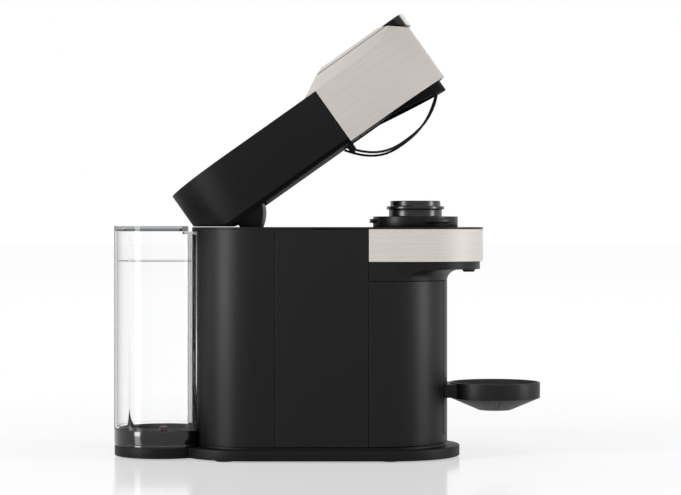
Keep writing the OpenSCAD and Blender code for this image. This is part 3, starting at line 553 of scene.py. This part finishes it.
class MACHINE_OT_head(bpy.types.Operator):
    """Finishes the arm, the silver head, its liner, the lever and the button"""

    bl_idname = "machine.head"
    bl_label = "Head"

    def execute(self, context):
        finish = MachineMaterials.get()
        edge = sizes().edge
        fine = sizes().fine_edge
        moulding("arm_shell", finish["arm"], edge)
        moulding("arm_cover", finish["inner"], fine)
        cover = moulding("head_cover", finish["head_silver"], fine)
        self.crease(cover)
        smooth(cover, 15.0)
        moulding("head_liner", finish["inner"], fine)
        moulding("lever", finish["arm"], edge)
        moulding("lever_tip", finish["tip"], fine)
        moulding("brew_button", finish["collar"], edge)
        moulding("locking_ring", finish["dark_steel"], fine)
        moulding("injector_plate", finish["inner"], fine)
        moulding("injector_seal", finish["rubber"], edge)
        for side in (-1, 1):
            self.hoop_leg(side, finish["arm"])
        return {"FINISHED"}

    def crease(self, cover):
        """Folds the cap's flanks along a level line, with a fine groove in the fold"""
        hinge, up = Vector(HINGE), Vector(HEAD_UP)
        below, middle, above = (CREASE_Z - HINGE[2] + i * GROOVE_W for i in (-1, 0, 1))
        only(cover)
        for level in (below, middle, above):
            bpy.ops.object.mode_set(mode="EDIT")
            bpy.ops.mesh.select_all(action="SELECT")
            bpy.ops.mesh.bisect(plane_co=hinge + up * level, plane_no=up)
            bpy.ops.object.mode_set(mode="OBJECT")
        for levels, push in (((below, above), CREASE_OUT), ((middle,), -GROOVE_IN)):
            pick(cover, lambda co: abs(co.y) > CREASE_Y and any(
                abs(up.dot(co) - up.dot(hinge) - level) < ON_LEVEL for level in levels))
            bpy.ops.transform.shrink_fatten(value=push)
            bpy.ops.object.mode_set(mode="OBJECT")

    def hoop_leg(self, side, material):
        """A short leg from the head's rear corner down to the ejector hoop"""
        middle = (LEG_TOP + LEG_LOW) / 2
        bpy.ops.object.select_all(action="DESELECT")
        bpy.ops.mesh.primitive_cube_add(size=1, location=(LEG_X, side * LEG_Y, middle))
        piece = bpy.context.view_layer.objects.active
        piece.name = "hoop_leg_left" if side > 0 else "hoop_leg_right"
        piece.scale = (LEG_L, LEG_W, LEG_TOP - LEG_LOW)
        bpy.ops.object.transform_apply(location=True, rotation=False, scale=True)
        pick(piece, lambda co: co.z > middle and co.x < LEG_X)
        bpy.ops.transform.translate(value=(-LEG_LEAN, 0, 0))
        bpy.ops.object.mode_set(mode="OBJECT")
        swing_open(piece)
        round_edges(piece, LEG_EDGE)
        smooth(piece)
        paint(piece, material)
        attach(piece, "head")


class MACHINE_OT_brewer(bpy.types.Operator):
    """Finishes the collar and the capsule holder"""

    bl_idname = "machine.brewer"
    bl_label = "Collar and capsule holder"

    def execute(self, context):
        finish = MachineMaterials.get()
        moulding("collar", finish["collar"], sizes().edge)
        moulding("capsule_holder", finish["holder"], sizes().edge)
        return {"FINISHED"}


class MACHINE_OT_band(bpy.types.Operator):
    """Finishes the silver band and rolls fine level ribs into it"""

    bl_idname = "machine.band"
    bl_label = "Silver band"

    def execute(self, context):
        piece = moulding("silver_band", MachineMaterials.get()["band_silver"],
                         sizes().fine_edge)
        pitch, depth = sizes().rib_pitch, sizes().rib_depth
        count = int((BAND_HIGH.z - BAND_LOW.z) / pitch) - 1
        first = (BAND_LOW.z + BAND_HIGH.z - (count - 1) * pitch) / 2
        only(piece)
        bpy.ops.object.mode_set(mode="EDIT")
        for i in range(count):
            for part in RIB_CUTS:
                bpy.ops.mesh.select_all(action="SELECT")
                bpy.ops.mesh.bisect(
                    plane_co=(0, 0, first + (i + part) * pitch), plane_no=(0, 0, 1))
        bpy.ops.object.mode_set(mode="OBJECT")

        def in_groove(co):
            step = (co.z - first) / pitch
            reach = co.y if co.x < BREW_X else math.hypot(co.x - BREW_X, co.y)
            return abs(step - round(step)) < RIB_NEAR and abs(reach) > BODY_R - RIB_SKIN

        pick(piece, in_groove)
        bpy.ops.transform.shrink_fatten(value=-depth)
        bpy.ops.object.mode_set(mode="OBJECT")
        smooth(piece, 60.0)
        return {"FINISHED"}


class MACHINE_OT_tank(bpy.types.Operator):
    """Finishes the tank, its lid, foot and valve, and adds the moulded fill line"""

    bl_idname = "machine.tank"
    bl_label = "Water tank"

    def execute(self, context):
        finish = MachineMaterials.get()
        fine = sizes().fine_edge
        moulding("water_tank", finish["clear"], 0.0)
        moulding("tank_lid", finish["lid"], 0.0)
        moulding("tank_foot", finish["gloss"], sizes().edge)
        moulding("tank_dock", finish["gloss"], fine)
        moulding("tank_valve", finish["valve"], fine)
        self.fill_line(finish["gloss"])
        return {"FINISHED"}

    def fill_line(self, material):
        """A thin raised line round the inside of the tank's wall"""
        notch = BODY_R + LINE_NOTCH
        bpy.ops.object.select_all(action="DESELECT")
        bpy.ops.mesh.primitive_circle_add(
            vertices=LINE_STEPS, radius=TANK_R - LINE_INSET,
            location=(TANK_X, 0, sizes().fill_z))
        piece = bpy.context.view_layer.objects.active
        piece.name = "tank_fill_line"
        bpy.ops.object.transform_apply(location=True, rotation=False, scale=False)
        pick(piece, lambda co: math.hypot(co.x - REAR_X, co.y) < notch)
        bpy.ops.mesh.delete(type="VERT")
        bpy.ops.mesh.select_all(action="SELECT")
        bpy.ops.mesh.extrude_region_move(TRANSFORM_OT_translate={"value": (0, 0, LINE_H)})
        bpy.ops.object.mode_set(mode="OBJECT")
        wall = piece.modifiers.new("wall", "SOLIDIFY")
        wall.thickness = LINE_T
        bpy.ops.object.modifier_apply(modifier=wall.name)
        smooth(piece)
        paint(piece, material)
        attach(piece, "machine")


class MACHINE_OT_cup_support(bpy.types.Operator):
    """Finishes the cup support's bracket, bowl and grid"""

    bl_idname = "machine.cup_support"
    bl_label = "Cup support"

    def execute(self, context):
        finish = MachineMaterials.get()
        fine = sizes().fine_edge
        moulding("support_bracket", finish["body"], fine)
        moulding("drip_bowl", finish["cup"], fine)
        moulding("cup_grid", finish["inner"], fine)
        return {"FINISHED"}


class MACHINE_OT_inner(bpy.types.Operator):
    """Gives the pieces inside the body and the small fittings their finishes"""

    bl_idname = "machine.inner"
    bl_label = "Inner pieces and fittings"

    FINISHES = {
        "inner": ("bulkhead", "motor_cover", "capsule_bin", "injector_housing"),
        "arm": ("ejector_hoop",),
        "steel": ("base_screws", "drum_bearing", "motor_stator", "hinge_shaft",
                  "injector_needle", "pump", "water_heater"),
        "copper": ("motor_rotor",),
        "rubber": ("rubber_feet", "cord_gland"),
        "white": ("flow_meter", "water_hose", "head_hose"),
        "light": ("light_ring",),
        "board": ("control_board",),
    }

    def execute(self, context):
        finish = MachineMaterials.get()
        for key, names in self.FINISHES.items():
            for name in names:
                piece = frame["nodes"][name]
                paint(piece, finish[key])
                smooth(piece)
        return {"FINISHED"}


# --- Studio ---


def greater(tree, first, second):
    return node(tree, "Math", {"operation": "MAXIMUM"}, {0: first, 1: second})


def shown_ray(tree):
    """1 on a ray from the camera, a reflection or a clear piece, and 0 on soft light"""
    camera, glossy, clear = (node(tree, "LightPath", output="Is %s Ray" % kind)
                             for kind in ("Camera", "Glossy", "Transmission"))
    return greater(tree, greater(tree, camera, glossy), clear)


def soft_box(name, place, size, power):
    data = bpy.data.lights.new(name, "AREA")
    data.shape = "RECTANGLE"
    data.size, data.size_y = size
    data.energy = power
    lamp = bpy.data.objects.new(name, data)
    bpy.context.scene.collection.objects.link(lamp)
    lamp.location = place
    lamp.rotation_euler = (Vector(SOFT_BOX_AIM) - Vector(place)).to_track_quat("-Z", "Y").to_euler()


class MACHINE_OT_studio(bpy.types.Operator):
    """Adds the pale floor, the soft boxes and the camera"""

    bl_idname = "machine.studio"
    bl_label = "Studio"

    def execute(self, context):
        self.floor()
        self.world()
        for name, (place, size, power) in SOFT_BOXES.items():
            soft_box(name, place, size, power)
        self.camera()
        return {"FINISHED"}

    def floor(self):
        bpy.ops.mesh.primitive_plane_add(size=FLOOR_SIZE, location=(0, 0, 0))
        floor = bpy.context.view_layer.objects.active
        floor.name = "floor"
        material, tree = new_material("pale_floor")
        colour = (*bpy.context.scene.machine_colours.floor, 1)
        grain = noise(tree, object_space(tree), 30.0)
        matt = node(tree, "BsdfDiffuse", {}, {"Color": colour})
        sheen = node(tree, "BsdfAnisotropic", {}, {
            "Color": (1, 1, 1, 1), "Roughness": 0.1 + grain * 0.05})
        glow = node(tree, "Emission", {}, {"Color": (1, 1, 1, 1), "Strength": 1.0})
        shown = node(tree, "MixShader", {}, {0: FLOOR_GLOSS, 1: glow, 2: sheen})
        near = node(tree, "TexGradient", {"gradient_type": "SPHERICAL"}, {
            "Vector": object_space(tree, 0.0, (1.1, 1.1, 1.1))})
        shown = node(tree, "MixShader", {}, {0: near * FLOOR_MATT, 1: shown, 2: matt})
        finish_material(tree, node(tree, "MixShader", {}, {0: shown_ray(tree), 1: matt, 2: shown}))
        paint(floor, material)

    def world(self):
        world = bpy.data.worlds.new("studio")
        world.use_nodes = True
        tree = world.node_tree
        tree.nodes.clear()
        level = greater(tree, shown_ray(tree), WORLD_LIGHT)
        white = node(tree, "Background", {}, {"Color": (1, 1, 1, 1), "Strength": level})
        out = tree.nodes.new("ShaderNodeOutputWorld")
        tree.links.new(white.socket, out.inputs["Surface"])
        bpy.context.scene.world = world

    def camera(self):
        data = bpy.data.cameras.new("camera")
        data.lens = CAMERA_LENS
        data.shift_y = CAMERA_SHIFT
        data.clip_end = CAMERA_REACH
        camera = bpy.data.objects.new("camera", data)
        camera.location = CAMERA_PLACE
        camera.rotation_euler = (math.radians(90), 0, 0)
        bpy.context.scene.collection.objects.link(camera)
        bpy.context.scene.camera = camera
        bpy.context.scene.view_settings.view_transform = "Standard"


class MACHINE_PT_sidebar(bpy.types.Panel):
    """Lists the machine's pieces and finishes"""

    bl_idname = "MACHINE_PT_sidebar"
    bl_label = "Coffee machine"
    bl_space_type = "VIEW_3D"
    bl_region_type = "UI"
    bl_category = "Coffee machine"

    def draw(self, context):
        for group in (context.scene.machine_sizes, context.scene.machine_colours):
            for name in group.__annotations__:
                self.layout.prop(group, name)
        for step in STEPS:
            self.layout.operator(step.bl_idname)


STEPS = (MACHINE_OT_studio, MACHINE_OT_body, MACHINE_OT_band, MACHINE_OT_brewer, MACHINE_OT_head,
         MACHINE_OT_tank, MACHINE_OT_cup_support, MACHINE_OT_inner)
CLASSES = (MachineSizes, MachineColours, *STEPS, MACHINE_PT_sidebar)


def register():
    for cls in CLASSES:
        bpy.utils.register_class(cls)
    bpy.types.Scene.machine_sizes = bpy.props.PointerProperty(type=MachineSizes)
    bpy.types.Scene.machine_colours = bpy.props.PointerProperty(type=MachineColours)


def unregister():
    del bpy.types.Scene.machine_colours
    del bpy.types.Scene.machine_sizes
    for cls in reversed(CLASSES):
        bpy.utils.unregister_class(cls)


def main():
    register()
    bpy.ops.machine.studio()
    bpy.ops.machine.body()
    bpy.ops.machine.band()
    bpy.ops.machine.brewer()
    bpy.ops.machine.head()
    bpy.ops.machine.tank()
    bpy.ops.machine.cup_support()
    bpy.ops.machine.inner()


if __name__ == "__main__":
    main()
